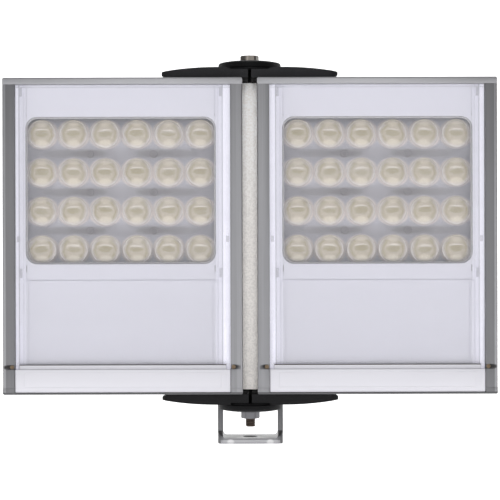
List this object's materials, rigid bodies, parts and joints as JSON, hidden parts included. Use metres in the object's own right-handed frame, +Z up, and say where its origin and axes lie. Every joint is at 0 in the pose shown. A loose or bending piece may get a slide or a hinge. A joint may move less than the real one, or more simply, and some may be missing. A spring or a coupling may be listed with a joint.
{
  "type": "white light illuminator",
  "caption": "Twin-panel floodlight: two flat lens panels on a central post, swivelling on toothed hubs and tilting on a U bracket.",
  "frame": {"origin": "centre of the base hole of the U bracket, on the face that is bolted down", "axes": "+X across the two panels, -Y the way the light faces, +Z up along the post"},
  "size_m": [0.3712, 0.134, 0.3064],
  "materials": {
    "anodised": "satin anodised",
    "end_metal": "satin anodised",
    "clear_cover": "clear, gloss",
    "white_mask": "matt white",
    "lens": "clear moulded",
    "led": "phosphor",
    "board": "solder mask",
    "steel": "machined",
    "white_bar": "semi-gloss white",
    "brass": "machined",
    "gland": "moulded black",
    "black_moulding": "fine-textured black",
    "off_white": "textured powder coat",
    "bracket_metal": "satin",
    "washer": "moulded"
  },
  "bodies": {
    "bracket_body": {"bracket": "bracket_metal", "tilt_bolt": "steel", "tilt_nut": "steel", "tilt_washers": "washer"},
    "spine_body": {"post": "off_white", "knuckle": "off_white", "knuckle_screws": "steel", "top_collar": "black_moulding", "bottom_collar": "black_moulding", "top_cap": "black_moulding", "bottom_cap": "black_moulding", "clamp_bolt": "steel", "clamp_nut": "steel"},
    "left_panel": {"left_housing": "anodised", "left_top_plate": "end_metal", "left_bottom_plate": "end_metal", "left_cover": "clear_cover", "left_mask": "white_mask", "left_lenses": "lens", "left_leds": "led", "left_board": "board", "left_board_screws": "steel", "left_bar": "white_bar", "left_lock_screws": "brass", "left_end_screws": "steel", "left_gland": "gland", "left_top_arm": "black_moulding", "left_bottom_arm": "black_moulding", "left_arm_screws": "steel"},
    "right_panel": {"right_housing": "anodised", "right_top_plate": "end_metal", "right_bottom_plate": "end_metal", "right_cover": "clear_cover", "right_mask": "white_mask", "right_lenses": "lens", "right_leds": "led", "right_board": "board", "right_board_screws": "steel", "right_bar": "white_bar", "right_lock_screws": "brass", "right_end_screws": "steel", "right_gland": "gland", "right_top_arm": "black_moulding", "right_bottom_arm": "black_moulding", "right_arm_screws": "steel"}
  },
  "joints": [
    {"name": "tilt", "type": "hinge", "parent": "bracket_body", "child": "spine_body", "pos_m": [0, 0, 0.062], "axis": [1, 0, 0], "range_deg": [-90, 15]},
    {"name": "left_swivel", "type": "hinge", "parent": "spine_body", "child": "left_panel", "pos_m": [0, -0.044, 0.165], "axis": [0, 0, -1], "range_deg": [0, 36]},
    {"name": "right_swivel", "type": "hinge", "parent": "spine_body", "child": "right_panel", "pos_m": [0, -0.044, 0.165], "axis": [0, 0, 1], "range_deg": [0, 36]}
  ]
}
